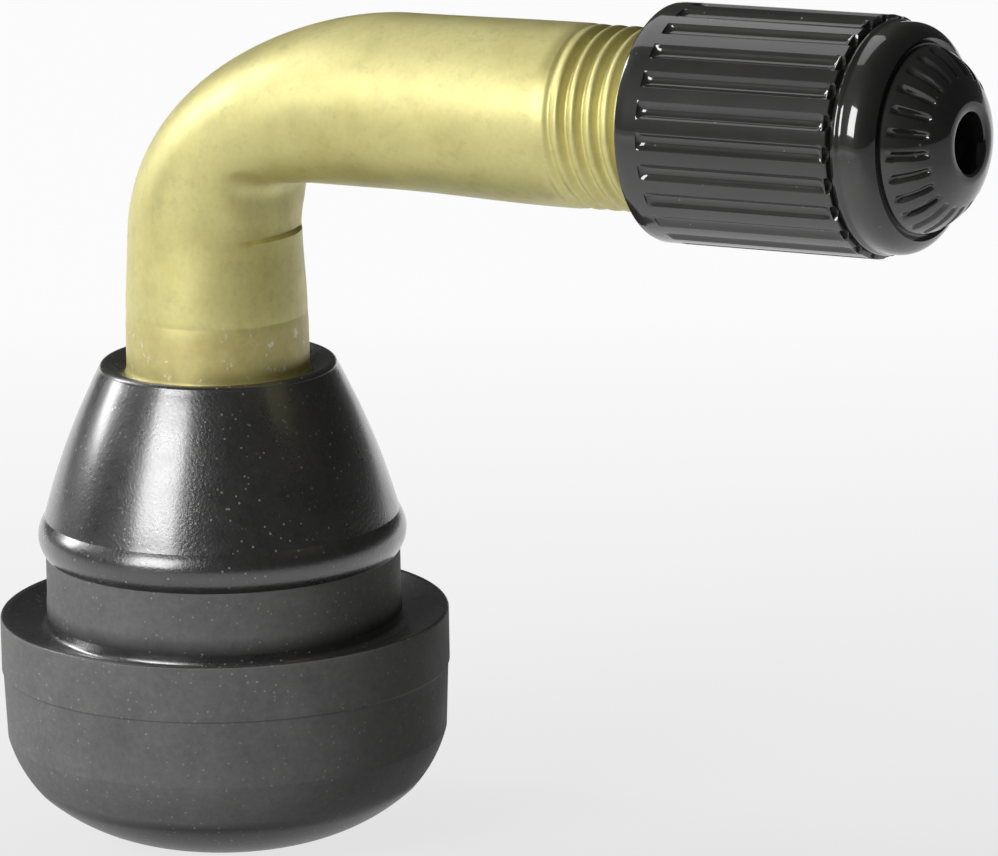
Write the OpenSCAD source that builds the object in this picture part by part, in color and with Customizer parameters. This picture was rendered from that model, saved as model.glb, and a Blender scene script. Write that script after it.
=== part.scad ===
// Tubeless tyre valve with a bent brass stem, a moulded rubber base and a screwed dust cap.
// The rim seat is at the origin, +Z runs up the base and the leg points along +X.
// All lengths are in millimetres and all angles in degrees.

/* [Rubber base] */
// Diameter of the flange that sits inside the rim
flange_d = 19.4; // [17.5:0.1:22]
// Height of the flange's upright wall
flange_h = 5.35; // [4:0.1:7]
// How much the wall leans in from its top to its bottom
wall_draft = 0.12; // [0:0.02:0.3]
// Distance from the rim seat down to the mould's parting step
parting_drop = 2.4; // [1.5:0.05:3]
// Radial size of the parting step
parting_step = 0.06; // [0.02:0.01:0.15]
// Rounding of the flange's top edge
edge_r = 0.3; // [0.1:0.05:0.5]
// Width of the flat sealing lip
lip_w = 0.4; // [0.2:0.05:0.8]
// Depth of the dish between the lip and the neck
lip_h = 0.7; // [0.3:0.05:1]
// Height of the rounded foot under the wall
foot_h = 4.4; // [3:0.1:6]
// Height of the foot's upper cone
foot_cone_h = 2.3; // [1.5:0.1:2.8]
// Diameter where the foot's cone meets its dome
foot_cone_d = 16.6; // [15.5:0.1:17.2]
// Diameter of the flat under the foot
foot_flat_d = 8.6; // [7:0.1:11]
// How far the foot's dome bulges out of a straight line
foot_bulge = 0.3; // [0:0.05:0.6]
// Diameter of the air hole in the foot
air_hole_d = 3.2; // [2.4:0.1:4]

/* [Neck and cone] */
// Diameter of the neck that the rim grips
neck_d = 15.3; // [13.5:0.1:16]
// Radius of the fillet at the neck's root
root_r = 0.25; // [0.1:0.05:0.5]
// Height of the neck, from the rim seat to the bead
neck_h = 2.65; // [1.8:0.1:4]
// How far the bead stands out of the neck
bead_out = 0.3; // [0.1:0.05:0.6]
// Height of the bead
bead_h = 1.7; // [1:0.1:2.4]
// Diameter of the cone just above the bead
cone_d = 15.3; // [14:0.1:15.8]
// Height of the cone, from the bead to its shoulder
cone_h = 5.6; // [4:0.1:8]
// Diameter of the cone at its shoulder
cone_top_d = 11.2; // [10.6:0.1:12.5]
// How far the cone bulges out of a straight line
cone_bulge = 0.14; // [0:0.02:0.3]
// Height of the rounded shoulder
shoulder_h = 1.1; // [0.6:0.1:2]
// Diameter of the rim at the top of the shoulder
rim_d = 9.4; // [9:0.1:10.2]
// Depth of the dish between that rim and the stem
dish_h = 0.55; // [0.2:0.05:0.9]

/* [Brass stem] */
// Outside diameter of the tube
tube_d = 7.68; // [7:0.02:8.2]
// Diameter of the collar that is bonded to the rubber
collar_d = 7.88; // [7.6:0.02:8.4]
// Height of the bonded collar above the rubber's dish
collar_h = 2.7; // [1:0.1:3.2]
// Diameter of the foot that is buried in the rubber
buried_d = 10.6; // [9:0.1:12]
// Thickness of that foot
buried_h = 1.4; // [1:0.1:2]
// Rubber left under the buried foot
buried_floor = 1.6; // [1:0.1:2.5]
// Diameter of the air passage
passage_d = 2.6; // [2:0.1:3]
// Height of the leg's axis above the rim seat
leg_z = 22.85; // [21.5:0.05:28]
// How far the leg rises above the horizontal
leg_rise = 2; // [0:0.5:5]
// How much the tube narrows towards the bend, in radius
tube_taper = 0.06; // [0.02:0.01:0.12]
// How much the bend's section is drawn in, all round
bend_draw = 0.04; // [0.03:0.01:0.1]
// Centreline radius of the bend
bend_r = 5.8; // [5.5:0.1:6.4]
// Centreline radius that the bend's flattened back follows
back_r = 8.6; // [8.2:0.1:9.2]
// Radius of the section of that back, flatter than the tube
back_section_r = 4.6; // [4.2:0.1:6]
// Depth of the flat that the bending tool left on the inner side
pinch_depth = 0.5; // [0.3:0.02:0.8]
// Height of that flat on the upright part
pinch_h = 2.3; // [1.4:0.1:2.8]
// Chamfer at the top of that flat
pinch_chamfer = 0.6; // [0.3:0.05:0.9]
// Depth of the flat under the leg, where it meets that chamfer
pinch_leg_depth = 0.25; // [0.15:0.01:0.4]
// Length of the leg, from the upright's axis to the mouth
leg_len = 33.3; // [31:0.1:38]
// Major diameter of the valve thread
thread_d = 7.64; // [6.9:0.02:7.64]
// Length of the valve thread
thread_len = 14.4; // [12.5:0.1:15.5]
// Width of the relief groove where the thread starts
relief_w = 0.5; // [0.3:0.05:0.8]
// Depth of that relief groove
relief_depth = 0.3; // [0.1:0.05:0.4]
// Chamfer at the mouth
mouth_chamfer = 0.5; // [0.2:0.05:0.6]

/* [Dust cap] */
// Outside diameter over the ribs
cap_d = 9.9; // [9.5:0.1:11]
// Length of the smooth band at the mouth
band_len = 1.05; // [0.6:0.05:1.6]
// Length of the ribs
rib_len = 8.9; // [7:0.1:10]
// Number of ribs
rib_count = 24; // [18:1:28]
// Width of the grooves between the ribs
groove_w = 0.62; // [0.4:0.02:0.7]
// Depth of those grooves
groove_depth = 0.3; // [0.15:0.01:0.34]
// Plain length between the ribs and the collar
rib_land = 0.1; // [0.08:0.01:0.3]
// Length of the smooth collar in front of the ribs
cap_collar_len = 1.65; // [1.2:0.05:2.2]
// Diameter at the front of that collar
cap_collar_d = 8.6; // [8.2:0.1:9]
// Depth of the ring groove between the collar and the nose
ring_depth = 0.35; // [0.1:0.05:0.6]
// Length of the nose
nose_len = 2.1; // [1.8:0.1:3]
// Diameter of the nose's flat tip
nose_tip_d = 3.3; // [2.9:0.1:3.8]
// How far the nose bulges out of a straight line
nose_bulge = 0.35; // [0.1:0.05:0.5]
// Number of flutes on the nose
flute_count = 14; // [10:1:18]
// Width of those flutes
flute_w = 0.5; // [0.3:0.05:0.6]
// Depth of those flutes
flute_depth = 0.14; // [0.05:0.01:0.2]
// Diameter of the hole in the tip
tip_hole_d = 2.45; // [2:0.05:2.6]
// Depth of that hole
tip_hole_depth = 1.5; // [0.8:0.1:1.8]
// Thickness of the wall between that hole and the seal
cap_roof = 0.9; // [0.6:0.05:1.4]
// Radial clearance of the cap on the thread
cap_clearance = 0.06; // [0.03:0.01:0.1]
// Thickness of the rubber seal in the cap
seal_t = 1.2; // [0.8:0.1:1.6]
// Diameter of the hole in the seal
seal_hole_d = 4; // [3:0.1:5]
// Clearance on each face of the seal
seal_clearance = 0.05; // [0.02:0.01:0.1]

/* [Valve core] */
// Diameter of the core's thread
core_thread_d = 5.2; // [4.8:0.05:5.3]
// Depth of the plug's top under the stem's mouth
plug_drop = 0.6; // [0.4:0.1:1.2]
// Height of the plug's wrench flats
flats_h = 1.4; // [1:0.1:2]
// Distance across the wrench flats
flats_w = 2.6; // [2.2:0.1:3]
// Length of the plug's threaded part
plug_len = 3.2; // [2.6:0.1:4]
// Outside diameter of the barrel
barrel_d = 3.8; // [3.5:0.05:3.9]
// Length of the barrel under the plug
barrel_len = 7.8; // [7:0.1:9]
// Diameter of the spring's room in the barrel
spring_room_d = 2.7; // [2.5:0.05:2.8]
// Thickness of the barrel's floor
barrel_floor = 0.8; // [0.6:0.1:1.2]
// Height of the sealing ring round the barrel
gasket_h = 1.6; // [1.2:0.1:2]
// Depth of the groove that holds that ring
gasket_groove = 0.35; // [0.2:0.05:0.4]
// Diameter of the pin
pin_d = 1.1; // [0.9:0.05:1.2]
// Depth of the pin's tip under the stem's mouth
pin_drop = 0.35; // [0.2:0.05:0.5]
// How far the pin can be pressed in
pin_travel = 1.2; // [0.8:0.1:1.6]
// Diameter of the pin's spring collar
pin_collar_d = 2.2; // [2.1:0.05:2.3]
// Thickness of that collar
pin_collar_t = 0.5; // [0.4:0.05:0.8]
// Outside diameter of the plunger cup
cup_d = 3.3; // [3:0.05:3.4]
// Height of the plunger cup
cup_h = 1.15; // [1:0.05:1.5]
// Wall of the plunger cup
cup_wall = 0.2; // [0.15:0.01:0.25]
// Height of the rubber ring in the cup
cup_gasket_h = 0.65; // [0.5:0.05:0.8]
// Diameter of the spring's wire
wire_d = 0.26; // [0.2:0.01:0.3]
// Number of turns in the spring
spring_turns = 8; // [6:1:9]
// Clearance between pieces that slide or seat
fit_gap = 0.05; // [0.03:0.01:0.08]

/* [Hidden] */

$fn = 64;
// Small overlap that keeps cut faces clean
cut = 0.01;
// How far the straight tubes run into the bend, so that they join cleanly
bend_overlap = 0.2;
// Gap of the bond between rubber and brass
bond_gap = 0.01;
// Points along a rounded stretch of an outline, and along a short one
arc_steps = 8;
few_steps = 5;
// Sides of the round cutters that shape the cap
cutter_sides = 24;
// Sides of the spring's wire and steps in each of its turns
wire_sides = 8;
turn_steps = 16;
// Step left where the flattened back begins
back_step = 0.03;
// Width of the chamfer at the top of the pinched flat
pinch_chamfer_w = 0.42;
// Width of the rubber's top rim and bulge of its shoulder
rim_land = 0.25;
shoulder_bulge = 0.16;
// Broken edge, collar step, collar bulge and nose step of the cap
cap_edge = 0.1;
cap_collar_step = 0.05;
cap_collar_bulge = 0.24;
nose_step = 0.15;
// Share of the nose that a flute covers
flute_share = 0.55;
// Lead-in of the cap's bore and of the stem's mouth
cap_lead = 0.4;
mouth_lead = 0.2;
// Inset of the plug's wrench flats from its thread
flats_inset = 0.5;
// Wall and height of the barrel's neck, wall of its tip, roof of its spring room
barrel_neck_wall = 0.65;
barrel_neck_h = 1.1;
barrel_tip_wall = 0.75;
room_roof = 0.3;
// Places and clearances of the core in the stem
seat_lead = 0.4;
seat_taper = 0.25;
gasket_drop = 1.7;
chamber_gap = 0.1;
chamber_spare = 1;
// Details of the pin and the cup
pin_tip_r = 0.15;
pin_collar_drop = 0.4;
rivet_h = 0.4;
rivet_out = 0.2;
rivet_chamfer = 0.1;
cup_step = 0.1;

// Rubber base, heights from the rim seat
flange_r = flange_d / 2;
wall_z = -flange_h;
foot_z = wall_z - foot_h;
lip_in_r = flange_r - edge_r - lip_w;
neck_r = neck_d / 2;
bead_top_z = neck_h + bead_h;
cone_top_z = bead_top_z + cone_h;
rim_z = cone_top_z + shoulder_h;
dish_z = rim_z - dish_h;

// Brass stem
tube_r = tube_d / 2;
collar_r = collar_d / 2;
collar_z = dish_z + collar_h;
collar_chamfer = collar_r - tube_r;
buried_z = foot_z + buried_floor;
bend_turn = 90 - leg_rise;
bend_reach = bend_r * tan(bend_turn / 2);
bend_z = leg_z - bend_reach;
bend_tube_r = tube_r - tube_taper;
back_reach = back_r * tan(bend_turn / 2);
thread_r = thread_d / 2;
thread_z = leg_len - thread_len;
pinch_x = tube_r - pinch_depth;
pinch_top_z = under_z(pinch_x) + pinch_leg_depth;
pinch_z = pinch_top_z - pinch_h;

// Dust cap, places along the leg from the upright's axis
seal_z = leg_len + seal_clearance;
cap_roof_z = seal_z + seal_t + seal_clearance;
cap_tip_z = cap_roof_z + cap_roof + tip_hole_depth;
nose_z = cap_tip_z - nose_len;
cap_collar_z = nose_z - cap_collar_len;
rib_z = cap_collar_z - rib_land - rib_len;
cap_mouth_z = rib_z - band_len;
cap_r = cap_d / 2;
cap_bore_r = thread_r + cap_clearance;
nose_r = cap_collar_d / 2 - ring_depth;

// Valve core, depths below the stem's mouth
core_r = core_thread_d / 2;
plug_thread_z = plug_drop + flats_h;
barrel_z = plug_thread_z + plug_len;
barrel_end_z = barrel_z + barrel_len;
spring_floor_z = barrel_end_z - barrel_floor;
barrel_r = barrel_d / 2;
barrel_neck_r = pin_d / 2 + barrel_neck_wall;
pin_hole_r = pin_d / 2 + 2 * fit_gap;
gasket_z = barrel_z + gasket_drop;
gasket_end_z = gasket_z + gasket_h;
gasket_in_r = barrel_r - gasket_groove;
chamber_r = barrel_r + chamber_gap;
seat_r = chamber_r + seat_taper;
cup_z = barrel_end_z + fit_gap;
cup_r = cup_d / 2;
cup_end_z = cup_z + cup_h;
pin_end_z = cup_end_z + rivet_h;
rivet_r = pin_d / 2 + rivet_out;
chamber_end_z = pin_end_z + pin_travel + chamber_spare;
pin_collar_z = barrel_z + pin_collar_drop;
spring_z = pin_collar_z + pin_collar_t + fit_gap;
spring_len = spring_floor_z - fit_gap - spring_z;
spring_r = (pin_d / 2 + spring_room_d / 2) / 2;

brass = "#cfc07a";
rubber = "#3a3a3c";
plastic = "#262324";
steel = "#b9babd";

// Height of the leg's lowest line at a distance x from the upright's axis
function under_z(x) = leg_z + x * tan(leg_rise) - tube_r / cos(leg_rise);

// Points of a curve from a to b that bulges to the right of the line between them
function bulged(a, b, bulge, steps = arc_steps) = [
    for (i = [0 : steps])
        let (
            t = i / steps,
            d = b - a,
            side = [d[1], -d[0]] / norm(d)
        )
        a + t * d + 4 * bulge * t * (1 - t) * side
];

// Points of a circle's arc about c, from angle a0 to angle a1
function arc(c, r, a0, a1, steps = arc_steps) = [
    for (i = [0 : steps])
        let (a = a0 + (a1 - a0) * i / steps)
        c + r * [cos(a), sin(a)]
];

// Puts children on the leg, with their +Z along its axis from the upright's axis
module on_leg() {
    translate([0, 0, leg_z])
        rotate([0, 90 - leg_rise, 0])
            children();
}

// Puts children in the stem's mouth, with their +Z going into the leg
module in_mouth() {
    on_leg()
        translate([0, 0, leg_len])
            rotate([180, 0, 0])
                children();
}

// Quarter ring along the bend's centreline, with a round section
module bend(section_r) {
    translate([bend_r, 0, bend_z])
        rotate([90, 0, 180])
            rotate_extrude(angle = bend_turn)
                translate([bend_r, 0])
                    circle(r = section_r);
}

// Outline of everything that the rubber is bonded to, moved out by gap
module buried_outline(gap) {
    r = collar_r + gap;
    foot_r = buried_d / 2 + gap;
    polygon([
        [0, buried_z - gap],
        [foot_r, buried_z - gap],
        [foot_r, buried_z + buried_h + gap],
        [r, buried_z + buried_h + foot_r - r + gap],
        [r, collar_z - collar_chamfer],
        [tube_r + gap, collar_z],
        [0, collar_z]
    ]);
}

// Flat left by the bending tool on the inner side of the bend
module pinch_cut() {
    far_x = bend_r + tube_r;
    rotate([90, 0, 0])
        linear_extrude(height = 2 * tube_d, center = true)
            polygon([
                [pinch_x, pinch_z],
                [pinch_x, pinch_top_z - pinch_chamfer],
                [pinch_x + pinch_chamfer_w, pinch_top_z],
                [far_x, under_z(far_x) - pinch_leg_depth],
                [far_x, pinch_z]
            ]);
}

// Takes the bulge off the back of the bend, which stretching flattened
module back_cut() {
    out_r = back_r + bend_tube_r - back_step;
    translate([back_r, 0, leg_z - back_reach])
        rotate([90, 0, 180])
            rotate_extrude(angle = bend_turn)
                difference() {
                    translate([back_r, -tube_d])
                        square([tube_d, 2 * tube_d]);
                    translate([out_r - back_section_r, 0])
                        circle(r = back_section_r);
                }
}

// Outline of the leg's outside, from the bend to the mouth
module leg_outline() {
    thread_root = thread_r - relief_depth;
    polygon([
        [0, bend_reach - bend_overlap],
        [bend_tube_r, bend_reach - bend_overlap],
        [tube_r, thread_z],
        [thread_root, thread_z + relief_depth],
        [thread_root, thread_z + relief_w],
        [thread_r, thread_z + relief_w + relief_depth],
        [thread_r, leg_len - mouth_chamfer],
        [thread_r - mouth_chamfer, leg_len],
        [0, leg_len]
    ]);
}

// Room for the valve core, going in from the mouth
module core_room() {
    rotate_extrude()
        polygon([
            [0, -cut],
            [core_r + fit_gap + mouth_lead, -cut],
            [core_r + fit_gap, mouth_lead],
            [core_r + fit_gap, barrel_z + seat_lead],
            [seat_r, barrel_z + seat_lead + core_r - seat_r],
            [seat_r, gasket_z],
            [chamber_r, gasket_end_z],
            [chamber_r, chamber_end_z],
            [passage_d / 2, chamber_end_z + chamber_r - passage_d / 2],
            [passage_d / 2, leg_len - bend_reach + bend_overlap],
            [0, leg_len - bend_reach + bend_overlap]
        ]);
}

module valve_stem() {
    color(brass)
        difference() {
            union() {
                rotate_extrude()
                    buried_outline(0);
                translate([0, 0, collar_z - cut])
                    cylinder(r1 = tube_r, r2 = bend_tube_r, h = bend_z - collar_z + cut + bend_overlap);
                bend(bend_tube_r - bend_draw);
                on_leg()
                    rotate_extrude()
                        leg_outline();
            }
            back_cut();
            pinch_cut();
            translate([0, 0, buried_z - cut])
                cylinder(d = passage_d, h = bend_z - buried_z + cut + bend_overlap);
            bend(passage_d / 2 - bend_draw);
            in_mouth()
                core_room();
        }
}

// Outside of the rubber from the foot up to the rim, then closed along the axis
module rubber_outline() {
    foot_corner = [foot_cone_d / 2, wall_z - foot_cone_h];
    step_z = -parting_drop;
    step_r = flange_r - parting_step;
    shoulder = [cone_top_d / 2, cone_top_z];
    rim = [rim_d / 2, rim_z];
    polygon(concat(
        [[0, foot_z]],
        bulged([foot_flat_d / 2, foot_z], foot_corner, foot_bulge),
        bulged(foot_corner, [step_r - wall_draft, wall_z], foot_bulge / 2, few_steps),
        [[step_r, step_z - parting_step], [flange_r, step_z]],
        arc([flange_r - edge_r, -edge_r], edge_r, 0, 90, few_steps),
        [[lip_in_r, 0], [neck_r + root_r, -lip_h]],
        arc([neck_r + root_r, -lip_h + root_r], root_r, 260, 180, few_steps),
        bulged([neck_r, neck_h], [cone_d / 2, bead_top_z], bead_out),
        bulged([cone_d / 2, bead_top_z], shoulder, cone_bulge),
        bulged(shoulder, rim, shoulder_bulge, few_steps),
        [rim - [rim_land, 0], [collar_r, dish_z], [0, dish_z]]
    ));
}

module rubber_body() {
    color(rubber)
        difference() {
            rotate_extrude()
                rubber_outline();
            rotate_extrude()
                buried_outline(bond_gap);
            translate([0, 0, foot_z - cut])
                cylinder(d = air_hole_d, h = buried_floor + 2 * cut);
        }
}

// Outline of the cap's solid form, before its ribs, flutes and bore
module cap_outline() {
    front = [cap_collar_d / 2, nose_z];
    polygon(concat(
        [[0, cap_mouth_z], [cap_r - cap_edge, cap_mouth_z], [cap_r, cap_mouth_z + cap_edge]],
        bulged([cap_r - cap_collar_step, cap_collar_z], front, cap_collar_bulge),
        [front - [ring_depth, cap_edge]],
        bulged([nose_r, nose_z + nose_step], [nose_tip_d / 2, cap_tip_z], nose_bulge),
        [[0, cap_tip_z]]
    ));
}

// Round-bottomed grooves between the ribs
module rib_grooves() {
    groove_r = (groove_w * groove_w / 4 + groove_depth * groove_depth) / (2 * groove_depth);
    for (i = [0 : rib_count - 1])
        rotate([0, 0, (i + 0.5) * 360 / rib_count])
            translate([cap_r - groove_depth + groove_r, 0, rib_z])
                cylinder(r = groove_r, h = rib_len, $fn = cutter_sides);
}

// Shallow flutes that run down the nose
module nose_flutes() {
    flute_r = (flute_w * flute_w / 4 + flute_depth * flute_depth) / (2 * flute_depth);
    slope = atan2(nose_r - nose_tip_d / 2, nose_len - nose_step);
    mid_r = (nose_r + nose_tip_d / 2) / 2 + nose_bulge * cos(slope);
    mid_z = (nose_z + cap_tip_z) / 2 + nose_bulge * sin(slope);
    flute_len = flute_share * nose_len / cos(slope);
    for (i = [0 : flute_count - 1])
        rotate([0, 0, i * 360 / flute_count])
            translate([mid_r, 0, mid_z])
                rotate([0, -slope, 0])
                    translate([flute_r - flute_depth, 0, -flute_len / 2])
                        cylinder(r = flute_r, h = flute_len, $fn = cutter_sides);
}

module dust_cap() {
    color(plastic)
        on_leg()
            difference() {
                rotate_extrude()
                    cap_outline();
                rib_grooves();
                nose_flutes();
                translate([0, 0, cap_mouth_z - cut])
                    cylinder(r = cap_bore_r, h = cap_roof_z - cap_mouth_z + cut);
                translate([0, 0, cap_mouth_z - cut])
                    cylinder(r1 = cap_bore_r + cap_lead, r2 = cap_bore_r, h = cap_lead + cut);
                translate([0, 0, cap_tip_z - tip_hole_depth])
                    cylinder(d = tip_hole_d, h = tip_hole_depth + cut);
            }
}

module cap_seal() {
    color(rubber)
        on_leg()
            translate([0, 0, seal_z])
                difference() {
                    cylinder(r = cap_bore_r - fit_gap, h = seal_t);
                    translate([0, 0, -cut])
                        cylinder(d = seal_hole_d, h = seal_t + 2 * cut);
                }
}

module core_plug() {
    socket_h = barrel_neck_h + fit_gap;
    color(brass)
        in_mouth()
            difference() {
                union() {
                    translate([0, 0, plug_thread_z])
                        cylinder(r = core_r, h = plug_len - fit_gap);
                    intersection() {
                        translate([0, 0, plug_drop])
                            cylinder(r = core_r - flats_inset, h = flats_h + cut);
                        translate([-core_r, -flats_w / 2, plug_drop])
                            cube([2 * core_r, flats_w, flats_h + cut]);
                    }
                }
                translate([0, 0, plug_drop - cut])
                    cylinder(r = pin_hole_r, h = flats_h + plug_len);
                translate([0, 0, barrel_z - socket_h])
                    cylinder(r = barrel_neck_r + fit_gap, h = socket_h);
            }
}

module core_barrel() {
    color(brass)
        in_mouth()
            difference() {
                rotate_extrude()
                    polygon([
                        [0, barrel_z - barrel_neck_h],
                        [barrel_neck_r, barrel_z - barrel_neck_h],
                        [barrel_neck_r, barrel_z],
                        [barrel_r, barrel_z],
                        [barrel_r, gasket_z],
                        [gasket_in_r, gasket_z],
                        [gasket_in_r, gasket_end_z],
                        [barrel_r, gasket_end_z],
                        [barrel_r, spring_floor_z],
                        [pin_d / 2 + barrel_tip_wall, barrel_end_z],
                        [0, barrel_end_z]
                    ]);
                translate([0, 0, barrel_z - barrel_neck_h - cut])
                    cylinder(r = pin_hole_r, h = barrel_end_z - barrel_z + barrel_neck_h + 2 * cut);
                translate([0, 0, barrel_z + room_roof])
                    cylinder(d = spring_room_d, h = spring_floor_z - barrel_z - room_roof);
            }
}

module barrel_gasket() {
    inner_r = gasket_in_r + fit_gap / 2;
    color(rubber)
        in_mouth()
            rotate_extrude()
                polygon([
                    [inner_r, gasket_z + fit_gap / 2],
                    [seat_r - fit_gap, gasket_z + fit_gap / 2],
                    [chamber_r - fit_gap / 2, gasket_end_z - fit_gap / 2],
                    [inner_r, gasket_end_z - fit_gap / 2]
                ]);
}

module valve_pin() {
    pin_r = pin_d / 2;
    color(steel)
        in_mouth()
            rotate_extrude()
                polygon(concat(
                    [[0, pin_drop], [pin_r - pin_tip_r, pin_drop]],
                    arc([pin_r - pin_tip_r, pin_drop + pin_tip_r], pin_tip_r, 270, 360, few_steps),
                    [
                        [pin_r, pin_collar_z],
                        [pin_collar_d / 2, pin_collar_z],
                        [pin_collar_d / 2, pin_collar_z + pin_collar_t],
                        [pin_r, pin_collar_z + pin_collar_t],
                        [pin_r, cup_end_z],
                        [rivet_r, cup_end_z],
                        [rivet_r - rivet_chamfer, pin_end_z],
                        [0, pin_end_z]
                    ]
                ));
}

module plunger_cup() {
    room_h = cup_gasket_h - cup_step;
    color(brass)
        in_mouth()
            difference() {
                translate([0, 0, cup_end_z - cup_h + cup_step])
                    cylinder(r = cup_r, h = cup_h - cup_step);
                translate([0, 0, cup_z])
                    cylinder(r = cup_r - cup_wall, h = room_h + cup_step);
                translate([0, 0, cup_z])
                    cylinder(r = pin_d / 2, h = cup_h + cut);
            }
}

module cup_gasket() {
    color(rubber)
        in_mouth()
            translate([0, 0, cup_z])
                difference() {
                    cylinder(r = cup_r - cup_wall, h = cup_gasket_h);
                    translate([0, 0, -cut])
                        cylinder(r = pin_d / 2, h = cup_gasket_h + 2 * cut);
                }
}

// Round wire wound along +Z, with its ends closed
module coil(radius, length, turns, wire) {
    sides = wire_sides;
    steps = turns * turn_steps;
    function centre(k) = [
        radius * cos(360 * turns * k / steps),
        radius * sin(360 * turns * k / steps),
        wire / 2 + (length - wire) * k / steps
    ];
    function ring_point(k, s) = let (
        a = 360 * turns * k / steps,
        out = [cos(a), sin(a), 0],
        w = 360 * s / sides
    ) centre(k) + wire / 2 * (cos(w) * out + sin(w) * [0, 0, 1]);
    points = [
        for (k = [0 : steps], s = [0 : sides - 1])
            ring_point(k, s)
    ];
    walls = [
        for (k = [0 : steps - 1], s = [0 : sides - 1])
            let (n = (s + 1) % sides)
            [k * sides + s, k * sides + n, (k + 1) * sides + n, (k + 1) * sides + s]
    ];
    start = [for (s = [0 : sides - 1]) sides - 1 - s];
    end = [for (s = [0 : sides - 1]) steps * sides + s];
    polyhedron(points, concat(walls, [start], [end]));
}

module core_spring() {
    color(steel)
        in_mouth()
            translate([0, 0, spring_z])
                coil(spring_r, spring_len, spring_turns, wire_d);
}

valve_stem();
rubber_body();
dust_cap();
cap_seal();
core_plug();
core_barrel();
barrel_gasket();
valve_pin();
plunger_cup();
cup_gasket();
core_spring();
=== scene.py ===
import math

import bmesh
import bpy
import numpy as np
from mathutils import Matrix, Vector


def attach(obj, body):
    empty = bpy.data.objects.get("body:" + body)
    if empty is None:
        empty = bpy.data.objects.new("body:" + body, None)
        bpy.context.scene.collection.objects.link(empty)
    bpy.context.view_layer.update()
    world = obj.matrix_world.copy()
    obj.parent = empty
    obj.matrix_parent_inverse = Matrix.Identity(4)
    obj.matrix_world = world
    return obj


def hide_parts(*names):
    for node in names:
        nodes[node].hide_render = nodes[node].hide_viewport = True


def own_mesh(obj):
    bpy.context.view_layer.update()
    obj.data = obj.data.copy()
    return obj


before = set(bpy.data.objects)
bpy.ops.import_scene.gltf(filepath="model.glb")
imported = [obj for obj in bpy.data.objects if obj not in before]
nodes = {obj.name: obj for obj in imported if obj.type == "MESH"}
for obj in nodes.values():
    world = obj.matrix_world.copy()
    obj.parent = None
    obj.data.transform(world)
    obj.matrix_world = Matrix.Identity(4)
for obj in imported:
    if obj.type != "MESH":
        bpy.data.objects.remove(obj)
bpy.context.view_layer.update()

# The part's sizes are in millimetres in its own frame, and go to metres where meshes are made.
# The floor and the lamps are in metres.
MM = 0.001

# Leg: its axis passes over the base at leg_z and rises by leg_rise
leg_z = 22.85
leg_rise = math.radians(2.0)
leg_dir = np.array([math.cos(leg_rise), 0.0, math.sin(leg_rise)])
leg_down = np.array([math.sin(leg_rise), 0.0, -math.cos(leg_rise)])
leg_start = np.array([0.0, 0.0, leg_z])
bend_angle = math.pi / 2 - leg_rise

# Brass stem: radii of its stretches, its foot buried in the rubber and its air passage
tube_r, bend_r, upright_r, collar_r, collar_top = 3.84, 3.75, 3.9, 3.94, 13.2
buried_z, buried_r, buried_h = -8.15, 5.3, 1.4
buried_top = buried_z + buried_h
shoulder_z = buried_top + buried_r - collar_r
passage_r, passage_top = 1.3, 6.0

# Bend: the ends of its outer line with their pulls, then its height over the leg's axis and its inner round
back_low, back_far, back_pull_low, back_pull_far = 16.1, 9.9, 0.70, 0.36
top_h, under_share, inner_round, bend_swell = 3.79, 0.97, 2.0, 0.04

# Flat pinched into the bend's inner corner: its face, top, ledge and crown, then its run-outs
pinch_x, pinch_top, pinch_z, pinch_round = 3.42, 19.374, 16.9, 6.0
pinch_turn, pinch_leg, pinch_far, pinch_soft = 0.85, 0.25, 9.6, 0.07

# Threaded end and the room for the core
leg_len, thread_start, thread_r, pitch, thread_depth = 33.3, 18.9, 3.82, 0.79375, 0.3
mouth_bevel, rings_per_turn = 0.5, 28
mouth_r, mouth_bore_r, plug_r, seat_r, core_r = 3.32, 2.85, 2.65, 2.25, 2.0

# Rubber base, from its foot up to the dished top round the brass
air_hole_r, foot_z, foot_flat_r, foot_turn_r = 1.6, -9.75, 4.0, 4.3
wall_r, wall_z = 9.52, -5.35
foot_side_r, foot_side_z = 8.3, wall_z - 2.3
step_r, step_z, flange_r = 9.64, -2.4, 9.7
lip_round, lip_r = 0.13, 9.4
root_r, root_z, root_round, gloss_top = 7.95, -0.58, 0.26, -0.12
neck_r, neck_h = 7.65, 2.65
bead_top, bead_bulge, cone_bulge = 4.35, 0.3, 0.14
cone_top, cone_top_r = 9.85, 5.6
rim_r, rim_z, rim_round = 4.87, 11.02, 0.26
dish_z = 10.5
bond_gap = 0.012

# Dust cap: places along the leg, then radii and patterns
cap_mouth, rib_start, rib_end, collar_start, nose_start, cap_tip = 23.2, 24.25, 33.15, 33.25, 34.9, 37.0
cap_roof = 34.6
cap_r, cap_edge, cap_bore_r, bore_bevel = 4.95, 0.12, 3.88, 0.4
rib_count, groove_w, groove_depth, rib_turn = 24, 0.66, 0.2, math.radians(5.5)
rib_stop, run_out, notch_share = rib_end - 0.22, 0.34, 1.4
waist_r = cap_r - 0.32
ridge_r, hollow_r, shoulder_r, shoulder_end_r = 4.78, 4.70, 4.715, 4.16
nose_r, nose_tip_r, nose_bulge = 3.83, 1.65, 0.37
nose_hole_r, nose_hole_depth, end_r = 1.225, 1.5, 0.4
flute_count, flute_depth, flute_half = 24, 0.24, 0.22


# Mesh helpers

def smoothstep(a, b, x):
    t = np.clip((x - a) / (b - a), 0.0, 1.0)
    return t * t * (3 - 2 * t)


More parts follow.
